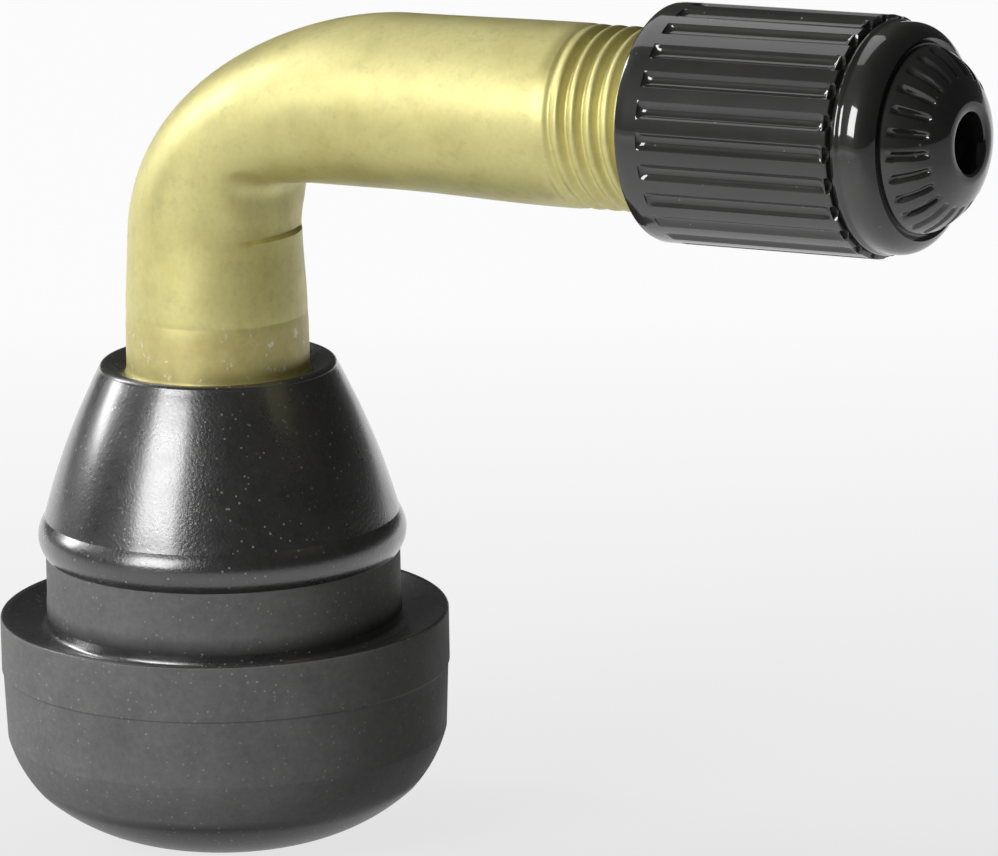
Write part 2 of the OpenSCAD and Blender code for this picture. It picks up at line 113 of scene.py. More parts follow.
def make_mesh(name, verts, faces, crease):
    """A piece from points in millimetres, with edges that turn by more than crease degrees kept sharp."""
    mesh = bpy.data.meshes.new(name)
    mesh.from_pydata((np.asarray(verts) * MM).tolist(), [], faces)
    bm = bmesh.new()
    bm.from_mesh(mesh)
    bmesh.ops.remove_doubles(bm, verts=bm.verts, dist=1e-8)
    bmesh.ops.recalc_face_normals(bm, faces=bm.faces)
    bm.to_mesh(mesh)
    bm.free()
    mesh.shade_smooth()
    mesh.set_sharp_from_angle(angle=math.radians(crease))
    obj = bpy.data.objects.new(name, mesh)
    bpy.context.scene.collection.objects.link(obj)
    return obj


def ring_faces(m, n):
    """Quads between m closed rings of n points."""
    faces = []
    for i in range(m - 1):
        a, b = i * n, (i + 1) * n
        for j in range(n):
            k = (j + 1) % n
            faces.append((a + j, a + k, b + k, b + j))
    return faces


def skin(name, rings, crease):
    """A closed skin through rings of points, with a fan at each end."""
    rings = np.asarray(rings)
    m, n = rings.shape[:2]
    verts = rings.reshape(-1, 3).tolist()
    faces = ring_faces(m, n)
    for row in (0, m - 1):
        c = len(verts)
        verts.append(rings[row].mean(0).tolist())
        faces += [(row * n + j, row * n + (j + 1) % n, c) for j in range(n)]
    return make_mesh(name, verts, faces, crease)


def bulged(a, b, bulge, steps):
    """Points from a to b that bulge to the right of the line between them."""
    a, b = np.array(a, float), np.array(b, float)
    d = b - a
    side = np.array([d[1], -d[0]]) / np.linalg.norm(d)
    return [a + t * d + 4 * bulge * t * (1 - t) * side for t in np.linspace(0, 1, steps + 1)]


def arc(c, r, a0, a1, steps):
    """Points on a circle round c, from a0 to a1 degrees."""
    return [np.array(c) + r * np.array([math.cos(math.radians(a)), math.sin(math.radians(a))])
            for a in np.linspace(a0, a1, steps + 1)]


def fillet(points, radius, sharp=14.0, steps=4):
    """Rounds each corner of an open outline that turns by more than sharp degrees."""
    p = [np.array(q, float) for q in points]
    out = [p[0]]
    for a, b, c in zip(p[:-2], p[1:-1], p[2:]):
        u, w = a - b, c - b
        lu, lw = np.linalg.norm(u), np.linalg.norm(w)
        if lu < 1e-9 or lw < 1e-9:
            continue
        u, w = u / lu, w / lw
        turn = math.degrees(math.acos(float(np.clip(-u @ w, -1, 1))))
        if turn < sharp:
            out.append(b)
            continue
        reach = min(radius * math.tan(math.radians(turn / 2)), lu * 0.45, lw * 0.45)
        s, e = b + u * reach, b + w * reach
        for t in np.linspace(0, 1, steps + 1):
            out.append((1 - t) ** 2 * s + 2 * t * (1 - t) * b + t * t * e)
    out.append(p[-1])
    return out


def subdivide(points, longest):
    """Adds points so that no stretch of an outline is longer than longest."""
    out = [np.array(points[0], float)]
    for q in points[1:]:
        a, b = out[-1], np.array(q, float)
        k = max(1, int(math.ceil(np.linalg.norm(b - a) / longest)))
        out += [a + (b - a) * i / k for i in range(1, k + 1)]
    return out


def leg_circle(s, down, side):
    """Ring round the leg's axis at s along it, from each point's reach down and across."""
    return leg_start + leg_dir * s + np.outer(down, leg_down) + np.outer(side, [0.0, 1.0, 0.0])


# Brass stem

def bezier(p0, p1, p2, p3, t):
    return ((1 - t) ** 3)[:, None] * p0 + (3 * t * (1 - t) ** 2)[:, None] * p1 \
        + (3 * t * t * (1 - t))[:, None] * p2 + (t ** 3)[:, None] * p3


def leg_xz(s, h):
    """Point of the bend's plane at s along the leg and h above its axis."""
    return np.array([s * leg_dir[0] - h * leg_dir[2], leg_z + s * leg_dir[2] + h * leg_dir[0]])


def back_curve(t):
    """Outer line of the bend, from the upright's back to the leg's top."""
    p0 = np.array([-bend_r, back_low])
    p3 = leg_xz(back_far, top_h)
    corner_z = leg_xz(-bend_r, top_h)[1]
    p1 = p0 + np.array([0.0, (corner_z - back_low) * back_pull_low])
    reach = (back_far + bend_r) * back_pull_far
    p2 = p3 - np.array([leg_dir[0], leg_dir[2]]) * reach
    return bezier(p0, p1, p2, p3, t)


def inner_line(f):
    """Inner line of the bend before it is pinched: up the upright, round a small corner, along the leg."""
    under = -bend_r * under_share
    low = np.array([bend_r, pinch_z])
    corner = np.array([bend_r + inner_round, leg_xz(bend_r + inner_round, under)[1] - inner_round])
    if f < 0.25:
        return low + (np.array([bend_r, corner[1]]) - low) * (f / 0.25)
    if f < 0.75:
        g = (f - 0.25) / 0.5 * bend_angle
        return corner + inner_round * np.array([-math.cos(g), math.sin(g)])
    a = corner + inner_round * np.array([-math.sin(leg_rise), math.cos(leg_rise)])
    b = leg_xz(back_far, under)
    return a + (b - a) * ((f - 0.75) / 0.25)


def pinch_line():
    """Face of the pinched flat: up from its ledge, round under the leg, and along it."""
    under_z = leg_z + pinch_far * math.tan(leg_rise) - tube_r / math.cos(leg_rise)
    line = [np.array((pinch_x + 0.04, pinch_z - 0.01))]
    line += arc((pinch_x + pinch_turn, pinch_top - pinch_turn), pinch_turn, 180, 92, 12)
    return line + [np.array((pinch_far, under_z - pinch_leg))]


def ray_cut(origin, way, line):
    """Distance along way from origin to the first crossing with a polyline."""
    best = math.inf
    for a, b in zip(line[:-1], line[1:]):
        d = b - a
        det = way[0] * -d[1] + d[0] * way[1]
        if abs(det) < 1e-12:
            continue
        r = a - origin
        s = (r[0] * -d[1] + d[0] * r[1]) / det
        u = (way[0] * r[1] - r[0] * way[1]) / det
        if s > 0 and -1e-6 <= u <= 1 + 1e-6:
            best = min(best, s)
    return best


stem_sides = 112
stem_phi = np.linspace(0, 2 * math.pi, stem_sides, endpoint=False)
stem_cos, stem_sin = np.cos(stem_phi), np.sin(stem_phi)
back_t = np.linspace(0, 1, 400)
back_line = back_curve(back_t)


def round_ring(r, z):
    return np.c_[r * stem_cos, r * stem_sin, np.full(stem_sides, z)]


def section(centre, way, inner, outer, half, limit=math.inf):
    """Ring round centre: its reach along way and against it, its half width, and how far the flat lies."""
    reach = np.where(stem_cos >= 0, stem_cos * inner, stem_cos * outer)
    if limit < math.inf:
        # the flat is slightly crowned, and runs out softly into the round of the tube
        flat = limit - pinch_round + np.sqrt(pinch_round ** 2 - (half * stem_sin) ** 2)
        pinched = -pinch_soft * np.logaddexp(-reach / pinch_soft, -flat / pinch_soft)
        reach = np.where(stem_cos > 0, pinched, reach)
    return np.c_[centre[0] + reach * way[0], half * stem_sin, centre[1] + reach * way[1]]


def foot_rings():
    """Air passage, foot buried in the rubber, and collar with a small flare on the rubber."""
    rings = [round_ring(r, z) for r, z in (
        (passage_r, passage_top), (passage_r, buried_z), (buried_r, buried_z), (buried_r, buried_top),
        (collar_r, shoulder_z), (collar_r, dish_z - 0.6))]
    rings += [round_ring(collar_r + out, dish_z + up) for out, up in (
        (0.02, -0.05), (0.10, 0.02), (0.09, 0.10), (0.03, 0.18), (0.0, 0.4))]
    rings += [round_ring(r, collar_top + up) for r, up in (
        (collar_r - 0.01, -0.5), (collar_r - 0.036, -0.05), (upright_r - 0.005, 0.0), (upright_r, 0.05))]
    return rings


def upright_rings():
    """Upright tube, up to the ledge of the pinched flat."""
    rings = []
    for z in np.linspace(collar_top + 0.3, pinch_z, 26, endpoint=False):
        r = upright_r + (bend_r - upright_r) * float(smoothstep(collar_top, pinch_z, z))
        outer = r if z <= back_low else -float(np.interp(z, back_line[:, 1], back_line[:, 0]))
        half = (r + min(outer, r)) / 2
        rings.append(section(np.array([r - half, z]), np.array([1.0, 0.0]), half, half, r))
    return rings


def bend_rings(fan=56):
    """Sections that fan round the pinched inner corner."""
    flat_line = pinch_line()
    start = float(np.interp(pinch_z, back_line[:, 1], back_t))
    rings = []
    for i in range(fan + 1):
        f = i / fan
        outer_pt = back_curve(np.array([start + (1 - start) * f]))[0]
        inner_pt = inner_line(f)
        way = inner_pt - outer_pt
        span = np.linalg.norm(way)
        way = way / span
        inner = min(bend_r, span / 2)
        centre = inner_pt - way * inner
        half = bend_r + bend_swell * math.sin(math.pi * f)
        rings.append(section(centre, way, inner, span - inner, half, ray_cut(centre, way, flat_line)))
    return rings


def leg_rings():
    """Leg up to the thread, the thread up to the bevelled mouth, and the room for the core."""
    rings = []

    def leg_ring(s, radius, low=1.0, top=1.0):
        drop = radius * np.where(stem_cos >= 0, stem_cos * low, stem_cos * top)
        rings.append(leg_circle(s, drop, radius * stem_sin))

    over_share = top_h / bend_r
    for s in np.linspace(back_far + 0.3, thread_start - 0.05, 18):
        f = float(smoothstep(back_far, thread_start - 1.0, s))
        radius = bend_r + (tube_r - bend_r) * f
        leg_ring(s, radius, under_share + (1 - under_share) * f, over_share + (1 - over_share) * f)
    # helical thread, whose groove deepens over its first turn or so
    steps = int((leg_len - thread_start) / pitch * rings_per_turn)
    for s in np.linspace(thread_start, leg_len - 0.02, steps):
        u = np.mod(s / pitch - stem_phi / (2 * math.pi), 1.0)
        groove = (0.5 - 0.5 * np.cos(2 * math.pi * u)) ** 1.3
        deep = thread_depth * float(smoothstep(thread_start - 0.1, thread_start + 0.9, s))
        bevel = max(0.0, s - (leg_len - mouth_bevel))
        leg_ring(s, np.minimum(thread_r - deep * groove, thread_r - bevel))
    # radii of the core's room by their depth from the mouth
    for r, depth in ((mouth_r, 0.0), (mouth_bore_r, 0.0), (plug_r, 0.2), (plug_r, 5.6), (seat_r, 6.05),
                     (seat_r, 6.9), (core_r, 8.5), (core_r, 16.8), (passage_r, 17.5), (passage_r, 22.0)):
        leg_ring(leg_len - depth, r)
    return rings


# Rubber base

def rubber_outline():
    outside = [(air_hole_r, foot_z), (foot_flat_r, foot_z)]
    outside += bulged((foot_turn_r, foot_z), (foot_side_r, foot_side_z), 0.3, 16)
    outside += bulged((foot_side_r, foot_side_z), (wall_r, wall_z), 0.15, 8)[1:]
    outside += [(step_r, step_z - 0.06), (flange_r, step_z)]
    outside += arc((flange_r - lip_round, -lip_round), lip_round, 0, 90, 8)
    # sealing face, dished down to the neck's root
    outside += bulged((lip_r, -0.02), (root_r, root_z), -0.03, 8)
    outside += arc((root_r, root_z + root_round), root_round, 265, 180, 8)
    outside += [(neck_r + 0.03, 0.5), (neck_r, 1.0)]
    outside += bulged((neck_r, neck_h), (neck_r, bead_top), bead_bulge, 14)
    outside += bulged((neck_r, bead_top), (cone_top_r, cone_top), cone_bulge, 20)[1:]
    # the cone runs on to a small round at the rim, and the top is dished down to the brass
    outside += bulged((cone_top_r, cone_top), (rim_r + 0.25, rim_z - 0.2), 0.01, 4)[1:]
    outside += arc((rim_r, rim_z - rim_round), rim_round, 15, 115, 9)
    outside += [(rim_r - 0.32, rim_z - 0.12), (collar_r + bond_gap, dish_z)]
    inside = [(collar_r + bond_gap, shoulder_z), (buried_r + bond_gap, buried_top),
              (buried_r + bond_gap, buried_z - bond_gap), (air_hole_r, buried_z - bond_gap)]
    return subdivide(fillet(outside, 0.07), 0.35) + [np.array(q) for q in inside]


def lathe_base(name, outline, n=192):
    """A closed outline turned round the base's axis."""
    phi = np.linspace(0, 2 * math.pi, n, endpoint=False)
    rings = np.array([np.c_[r * np.cos(phi), r * np.sin(phi), np.full(n, z)] for r, z in outline])
    m = len(outline)
    faces = ring_faces(m, n)
    faces += [((m - 1) * n + j, (m - 1) * n + (j + 1) % n, (j + 1) % n, j) for j in range(n)]
    return make_mesh(name, rings.reshape(-1, 3), faces, 40.0)


def is_glossy(r, z):
    """Whether the base is glossy there: on the sealing face's dish, and from the bead up."""
    top = 0.02 if r > root_r + 0.1 else gloss_top
    dish = root_z - 0.1 < z < top and r < flange_r - 0.3 * lip_round
    return dish or z > neck_h


# Dust cap

def rib_angles():
    """Angles round the cap, and each one's offset from its groove. They crowd at the groove's edges."""
    half = math.pi / rib_count
    edge = groove_w / 2 / cap_r
    local = np.concatenate([
        np.linspace(-half, -edge * 1.25, 4, endpoint=False),
        np.linspace(-edge * 1.25, -edge * 0.6, 4, endpoint=False),
        np.linspace(-edge * 0.6, edge * 0.6, 5, endpoint=False),
        np.linspace(edge * 0.6, edge * 1.25, 4, endpoint=False),
        np.linspace(edge * 1.25, half, 4, endpoint=False)])
    phi = np.concatenate([local + half + 2 * half * k for k in range(rib_count)]) + rib_turn
    return phi, np.tile(local, rib_count)


def cap_outline():
    """Outside of the cap as radius and place along the leg, from its mouth into the hole in its nose."""
    ends = 1 - np.cos(np.linspace(0, math.pi / 2, 8))
    outline = [(cap_bore_r + bore_bevel, cap_mouth), (cap_r - cap_edge, cap_mouth),
               (cap_r - 0.03, cap_mouth + 0.04), (cap_r, cap_mouth + 0.14), (cap_r, cap_mouth + 0.5),
               (cap_r, rib_start - 0.03)]
    outline += [(cap_r, rib_start + run_out * e) for e in ends]
    outline += [(cap_r, z) for z in np.linspace(rib_start + run_out + 0.3, rib_stop - run_out - 0.3, 16)]
    outline += [(cap_r, rib_stop - run_out * e) for e in ends[::-1]]
    outline += [(cap_r, rib_stop + 0.04), (cap_r, rib_stop + 0.07), (cap_r, rib_end - 0.06)]
    outline += [(cap_r - 0.03, rib_end - 0.02), (cap_r - cap_edge, rib_end), (waist_r, rib_end + 0.02)]
    # collar: a thin ridge, a shallow hollow and a round shoulder
    outline += [(r, collar_start + up) for r, up in (
        (waist_r, 0.0), (ridge_r - 0.09, 0.04), (ridge_r - 0.02, 0.08), (ridge_r, 0.14),
        (ridge_r - 0.01, 0.2), (hollow_r + 0.02, 0.3), (hollow_r, 0.38), (hollow_r + 0.01, 0.46))]
    outline += bulged((shoulder_r, collar_start + 0.7), (shoulder_end_r, nose_start), 0.17, 14)
    # nose, set in a narrow groove, and its hole
    outline += [(shoulder_end_r - 0.06, nose_start + 0.03), (nose_r + 0.07, nose_start - 0.06),
                (nose_r, nose_start - 0.05), (nose_r - 0.02, nose_start + 0.05)]
    outline += bulged((nose_r, nose_start + 0.12), (nose_tip_r, cap_tip), nose_bulge, 30)
    outline += [(nose_tip_r - 0.1, cap_tip), (nose_hole_r + 0.135, cap_tip),
                (nose_hole_r + 0.045, cap_tip - 0.04), (nose_hole_r, cap_tip - 0.12),
                (nose_hole_r, cap_tip - nose_hole_depth), (end_r, cap_tip - nose_hole_depth)]
    return outline


def groove_share(z):
    """Share of the full groove depth: both ends run out in a round, then comes a notch."""
    if rib_start <= z <= rib_stop:
        t = min(z - rib_start, rib_stop - z, run_out) / run_out
        return math.sqrt(max(0.0, 1 - (1 - t) ** 2))
    return notch_share if rib_stop + 0.05 < z < rib_end + 0.01 else 0.0


def flute_depths(phi, r, z):
    """Depth of the short dimpled flutes round the nose, at each angle."""
    start, end = nose_start + 0.3, cap_tip - 0.4
    band = smoothstep(start, start + 0.2, z) * (1 - smoothstep(end - 0.25, end, z))
    away = np.abs(np.mod(phi * flute_count / (2 * math.pi) + 0.5, 1.0) - 0.5) * 2 * math.pi / flute_count * r
    return flute_depth * float(band) * (1 - smoothstep(0.04, flute_half, away))


def cap_surface(name):
    phi, off = rib_angles()
    groove_r = (groove_w * groove_w / 4 + groove_depth * groove_depth) / (2 * groove_depth)
    y = np.abs(off) * cap_r
    deep = np.clip(np.sqrt(np.maximum(groove_r * groove_r - y * y, 0)) - (groove_r - groove_depth), 0, None)
    inside = [(end_r, cap_roof), (cap_bore_r, cap_roof), (cap_bore_r, cap_mouth + bore_bevel),
              (cap_bore_r + bore_bevel, cap_mouth)]
    rings = [leg_circle(z, r * np.cos(phi), r * np.sin(phi)) for r, z in inside]
    for r, z in cap_outline():
        rad = np.minimum(r, cap_r - deep * groove_share(z))
        if nose_start + 0.2 < z < cap_tip and nose_tip_r + 0.05 < r < nose_r + 0.02:
            rad = rad - flute_depths(phi, r, z)
        rings.append(leg_circle(z, rad * np.cos(phi), rad * np.sin(phi)))
    return skin(name, rings, 30.0)


# Material helpers

def new_material(name):
    mat = bpy.data.materials.new(name)
    mat.use_nodes = True
    tree = mat.node_tree
    tree.nodes.clear()
    out = tree.nodes.new("ShaderNodeOutputMaterial")
    bsdf = tree.nodes.new("ShaderNodeBsdfPrincipled")
    tree.links.new(bsdf.outputs["BSDF"], out.inputs["Surface"])
    coord = tree.nodes.new("ShaderNodeTexCoord")
    return mat, tree, bsdf, coord.outputs["Object"]


def noise(tree, vector, scale, detail=3.0, rough=0.55, stretch=None):
    if stretch is not None:
        mapping = tree.nodes.new("ShaderNodeMapping")
        mapping.inputs["Scale"].default_value = stretch
        tree.links.new(vector, mapping.inputs["Vector"])
        vector = mapping.outputs["Vector"]
    node = tree.nodes.new("ShaderNodeTexNoise")
    node.inputs["Scale"].default_value = scale
    node.inputs["Detail"].default_value = detail
    node.inputs["Roughness"].default_value = rough
    tree.links.new(vector, node.inputs["Vector"])
    return node.outputs["Fac"]


def ramp(tree, fac, stops):
    node = tree.nodes.new("ShaderNodeValToRGB")
    el = node.color_ramp.elements
    while len(el) < len(stops):
        el.new(0.5)
    for e, (pos, col) in zip(el, stops):
        e.position = pos
        e.color = col if len(col) == 4 else (*col, 1.0)
    tree.links.new(fac, node.inputs["Fac"])
    return node.outputs["Color"]


def grey(v):
    return (v, v, v, 1.0)


def mix(tree, fac, a, b, kind="MIX"):
    node = tree.nodes.new("ShaderNodeMix")
    node.data_type = "RGBA"
    node.blend_type = kind
    if isinstance(fac, float):
        node.inputs["Factor"].default_value = fac
    else:
        tree.links.new(fac, node.inputs["Factor"])
    for value, socket in ((a, node.inputs[6]), (b, node.inputs[7])):
        if isinstance(value, tuple):
            socket.default_value = value if len(value) == 4 else (*value, 1.0)
        else:
            tree.links.new(value, socket)
    return node.outputs[2]


def both(tree, a, b):
    """Product of two masks."""
    return mix(tree, 1.0, a, b, "MULTIPLY")


def calc(tree, operation, *values, clamp=False):
    """A Math node on sockets and plain numbers."""
    node = tree.nodes.new("ShaderNodeMath")
    node.operation = operation
    node.use_clamp = clamp
    for socket, value in zip(node.inputs, values):
        if isinstance(value, float):
            socket.default_value = value
        else:
            tree.links.new(value, socket)
    return node.outputs[0]


def reach_along(tree, vector, way):
    """How far a point lies along a direction."""
    node = tree.nodes.new("ShaderNodeVectorMath")
    node.operation = "DOT_PRODUCT"
    node.inputs[1].default_value = way
    tree.links.new(vector, node.inputs[0])
    return node.outputs["Value"]


def map_range(tree, value, low, high):
    """0 at low, 1 at high, and straight between them."""
    node = tree.nodes.new("ShaderNodeMapRange")
    node.inputs["From Min"].default_value = low
    node.inputs["From Max"].default_value = high
    tree.links.new(value, node.inputs["Value"])
    return node.outputs["Result"]


def split_axes(tree, vector):
    node = tree.nodes.new("ShaderNodeSeparateXYZ")
    tree.links.new(vector, node.inputs["Vector"])
    return node.outputs


def bump(tree, bsdf, height, strength, distance):
    node = tree.nodes.new("ShaderNodeBump")
    node.inputs["Strength"].default_value = strength
    node.inputs["Distance"].default_value = distance
    tree.links.new(height, node.inputs["Height"])
    tree.links.new(node.outputs["Normal"], bsdf.inputs["Normal"])


def coat(bsdf, rough, ior):
    bsdf.inputs["Coat Weight"].default_value = 1.0
    bsdf.inputs["Coat Roughness"].default_value = rough
    bsdf.inputs["Coat IOR"].default_value = ior


def speck_mask(tree, vector, scale, size, share):
    """Small scattered spots: 1 inside a spot, 0 elsewhere."""
    node = tree.nodes.new("ShaderNodeTexVoronoi")
    node.inputs["Scale"].default_value = scale
    tree.links.new(vector, node.inputs["Vector"])
    spot = ramp(tree, node.outputs["Distance"], [(size * 0.6, grey(1.0)), (size, grey(0.0))])
    pick = ramp(tree, node.outputs["Color"], [(share, grey(1.0)), (share + 0.03, grey(0.0))])
    return both(tree, spot, pick)


# Materials

collar_brown, scuff_glint_pale = (0.60, 0.48, 0.13), (0.92, 0.89, 0.72)
rubber_dark, rubber_light = (0.026, 0.0255, 0.025), (0.042, 0.041, 0.041)
haze_dark, haze_light = (0.16, 0.16, 0.16), (0.21, 0.21, 0.209)
rubber_speck, plastic_speck = (0.42, 0.42, 0.41), (0.35, 0.35, 0.34)
plastic_dark, plastic_light = (0.017, 0.016, 0.0155), (0.026, 0.0245, 0.0235)
seal_dark, seal_light = (0.018, 0.018, 0.018), (0.036, 0.036, 0.035)
steel_dark, steel_light = (0.46, 0.46, 0.47), (0.62, 0.62, 0.62)


def brass_material(name, base, dark, rough, metal=1.0, worn=True):
    mat, tree, bsdf, vec = new_material(name)
    tone = ramp(tree, noise(tree, vec, 260.0, 4.0, 0.6), [(0.36, dark), (0.58, base)])
    blot = ramp(tree, noise(tree, vec, 1100.0, 5.0, 0.7), [(0.30, grey(0.70)), (0.46, grey(1.0))])
    tone = mix(tree, 0.5, tone, blot, "MULTIPLY")
    if worn:
        # the collar over the rubber is a little browner, and small pale specks are painted on it as the
        # glints of scuffs
        height = split_axes(tree, vec)["Z"]
        collar = map_range(tree, height, (collar_top + 0.3) * MM, (collar_top - 0.5) * MM)
        stain = ramp(tree, noise(tree, vec, 420.0, 4.0, 0.6), [(0.35, grey(0.15)), (0.65, grey(0.75))])
        tone = mix(tree, both(tree, collar, stain), tone, collar_brown)
        scuff_glint_noise = noise(tree, vec, 2600.0, 3.0, 0.6, stretch=(1.0, 1.0, 0.6))
        scuff_glint = ramp(tree, scuff_glint_noise, [(0.63, grey(0.0)), (0.68, grey(1.0))])
        tone = mix(tree, both(tree, collar, scuff_glint), tone, scuff_glint_pale)
    grain = ramp(tree, noise(tree, vec, 4200.0, 4.0, 0.65), [(0.30, grey(0.86)), (0.60, grey(1.0))])
    tree.links.new(mix(tree, 0.5, tone, grain, "MULTIPLY"), bsdf.inputs["Base Color"])
    bsdf.inputs["Metallic"].default_value = metal
    gloss_stops = [(0.3, grey(rough - 0.07)), (0.7, grey(rough + 0.09))]
    gloss = ramp(tree, noise(tree, vec, 700.0, 4.0, 0.6), gloss_stops)
    tree.links.new(gloss, bsdf.inputs["Roughness"])
    coat(bsdf, 0.52, 1.95)
    if worn:
        bump(tree, bsdf, noise(tree, vec, 2600.0, 5.0, 0.62), 0.12, 0.00003)
    return mat


def rubber_dust(tree, vec, tone, amount):
    """Sparse pale specks laid over a tone."""
    spots = speck_mask(tree, vec, 3300.0, 0.2, 0.55)
    where = ramp(tree, noise(tree, vec, 330.0, 3.0, 0.6), [(0.36, grey(0.1)), (0.64, grey(1.0))])
    return mix(tree, calc(tree, "MULTIPLY", both(tree, spots, where), amount), tone, rubber_speck)


def flange_material(name):
    mat, tree, bsdf, vec = new_material(name)
    haze = noise(tree, vec, 420.0, 5.0, 0.62)
    tone = ramp(tree, haze, [(0.3, haze_dark), (0.7, haze_light)])
    grain = ramp(tree, noise(tree, vec, 3200.0, 4.0, 0.7), [(0.3, grey(0.72)), (0.7, grey(1.12))])
    tone = mix(tree, 0.6, tone, grain, "MULTIPLY")
    # the foot of the neck, down into the dish, is painted dark as shade and made glossier
    axes = split_axes(tree, vec)
    flat = tree.nodes.new("ShaderNodeCombineXYZ")
    tree.links.new(axes["X"], flat.inputs["X"])
    tree.links.new(axes["Y"], flat.inputs["Y"])
    radius = tree.nodes.new("ShaderNodeVectorMath")
    radius.operation = "LENGTH"
    tree.links.new(flat.outputs["Vector"], radius.inputs[0])
    low = map_range(tree, axes["Z"], 0.7 * MM, -0.2 * MM)
    near = map_range(tree, radius.outputs["Value"], 8.7 * MM, 8.4 * MM)
    painted_shade_foot = both(tree, low, near)
    tone = mix(tree, painted_shade_foot, tone, rubber_dark)
    tree.links.new(rubber_dust(tree, vec, tone, 0.75), bsdf.inputs["Base Color"])
    rough = ramp(tree, haze, [(0.3, grey(0.54)), (0.7, grey(0.66))])
    tree.links.new(mix(tree, painted_shade_foot, rough, grey(0.32)), bsdf.inputs["Roughness"])
    bsdf.inputs["Specular IOR Level"].default_value = 0.2
    bump(tree, bsdf, noise(tree, vec, 5200.0, 4.0, 0.65), 0.25, 0.00003)
    return mat


def cone_material(name):
    mat, tree, bsdf, vec = new_material(name)
    tone = ramp(tree, noise(tree, vec, 420.0, 5.0, 0.62), [(0.3, rubber_dark), (0.7, rubber_light)])
    grain = ramp(tree, noise(tree, vec, 3200.0, 4.0, 0.7), [(0.3, grey(0.7)), (0.7, grey(1.12))])
    tone = mix(tree, 0.7, tone, grain, "MULTIPLY")
    tree.links.new(rubber_dust(tree, vec, tone, 0.8), bsdf.inputs["Base Color"])
    rough = ramp(tree, noise(tree, vec, 800.0, 5.0, 0.65), [(0.3, grey(0.24)), (0.7, grey(0.38))])
    tree.links.new(rough, bsdf.inputs["Roughness"])
    bsdf.inputs["Specular IOR Level"].default_value = 0.8
    coat(bsdf, 0.2, 1.65)
    bump(tree, bsdf, noise(tree, vec, 6500.0, 3.0, 0.6), 0.7, 0.00003)
    return mat


def plastic_material(name):
    mat, tree, bsdf, vec = new_material(name)
    tone = ramp(tree, noise(tree, vec, 500.0, 4.0, 0.6), [(0.3, plastic_dark), (0.7, plastic_light)])
    spots = speck_mask(tree, vec, 2300.0, 0.14, 0.38)
    where = ramp(tree, noise(tree, vec, 420.0, 3.0, 0.6), [(0.48, grey(0.0)), (0.62, grey(1.0))])
    dust = calc(tree, "MULTIPLY", both(tree, spots, where), 0.6)
    tree.links.new(mix(tree, dust, tone, plastic_speck), bsdf.inputs["Base Color"])
    rough = ramp(tree, noise(tree, vec, 900.0, 4.0, 0.6), [(0.3, grey(0.42)), (0.7, grey(0.5))])
    tree.links.new(rough, bsdf.inputs["Roughness"])
    bsdf.inputs["Specular IOR Level"].default_value = 0.18
    coat(bsdf, 0.07, 1.8)
    bump(tree, bsdf, noise(tree, vec, 1800.0, 4.0, 0.6), 0.12, 0.00002)
    return mat


def seal_material(name):
    mat, tree, bsdf, vec = new_material(name)
    tone = ramp(tree, noise(tree, vec, 900.0, 4.0, 0.6), [(0.3, seal_dark), (0.7, seal_light)])
    tree.links.new(tone, bsdf.inputs["Base Color"])
    rough = ramp(tree, noise(tree, vec, 1600.0, 3.0, 0.6), [(0.3, grey(0.55)), (0.7, grey(0.7))])
    tree.links.new(rough, bsdf.inputs["Roughness"])
    bump(tree, bsdf, noise(tree, vec, 3000.0, 3.0, 0.6), 0.2, 0.00003)
    return mat


def steel_material(name):
    mat, tree, bsdf, vec = new_material(name)
    tone = ramp(tree, noise(tree, vec, 1200.0, 4.0, 0.6), [(0.3, steel_dark), (0.7, steel_light)])
    tree.links.new(tone, bsdf.inputs["Base Color"])
    bsdf.inputs["Metallic"].default_value = 1.0
    rough = ramp(tree, noise(tree, vec, 2200.0, 3.0, 0.6), [(0.3, grey(0.26)), (0.7, grey(0.4))])
    tree.links.new(rough, bsdf.inputs["Roughness"])
    return mat


def dress(obj, material):
    obj.data.materials.clear()
    obj.data.materials.append(material)


stem_brass = brass_material("satin_brass", (0.80, 0.735, 0.255), (0.70, 0.625, 0.185), 0.52, metal=0.65)
core_brass = brass_material("turned_brass", (0.72, 0.56, 0.24), (0.6, 0.45, 0.18), 0.3, worn=False)
flange_rubber = flange_material("matt_rubber")
cone_rubber = cone_material("glossy_rubber")
cap_plastic = plastic_material("cap_plastic")
seal_rubber = seal_material("seal_rubber")
core_steel = steel_material("drawn_steel")

# Pieces
stem = skin("bent_stem", foot_rings() + upright_rings() + bend_rings() + leg_rings(), 30.0)
dress(stem, stem_brass)
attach(stem, "stem")
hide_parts("valve_stem")

base = lathe_base("rubber_base", rubber_outline())
dress(base, flange_rubber)
base.data.materials.append(cone_rubber)
for face in base.data.polygons:
    face_r = math.hypot(face.center.x, face.center.y) / MM
    face.material_index = 1 if is_glossy(face_r, face.center.z / MM) else 0
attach(base, "stem")
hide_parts("rubber_body")

cap = cap_surface("dust_cap_moulding")
dress(cap, cap_plastic)
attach(cap, "cap")
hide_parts("dust_cap")

# the spring, which shortens as the pin is pressed, is a steel copy of the core's spring with a mesh of its
# own
coil = bpy.data.objects.new("coil_spring", nodes["core_spring"].data.copy())
bpy.context.scene.collection.objects.link(coil)
dress(coil, core_steel)
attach(coil, "stem")
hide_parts("core_spring")
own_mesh(coil)

for node in ("core_plug", "core_barrel", "plunger_cup"):
    dress(nodes[node], core_brass)
dress(nodes["valve_pin"], core_steel)
for node in ("cap_seal", "barrel_gasket", "cup_gasket"):
    dress(nodes[node], seal_rubber)

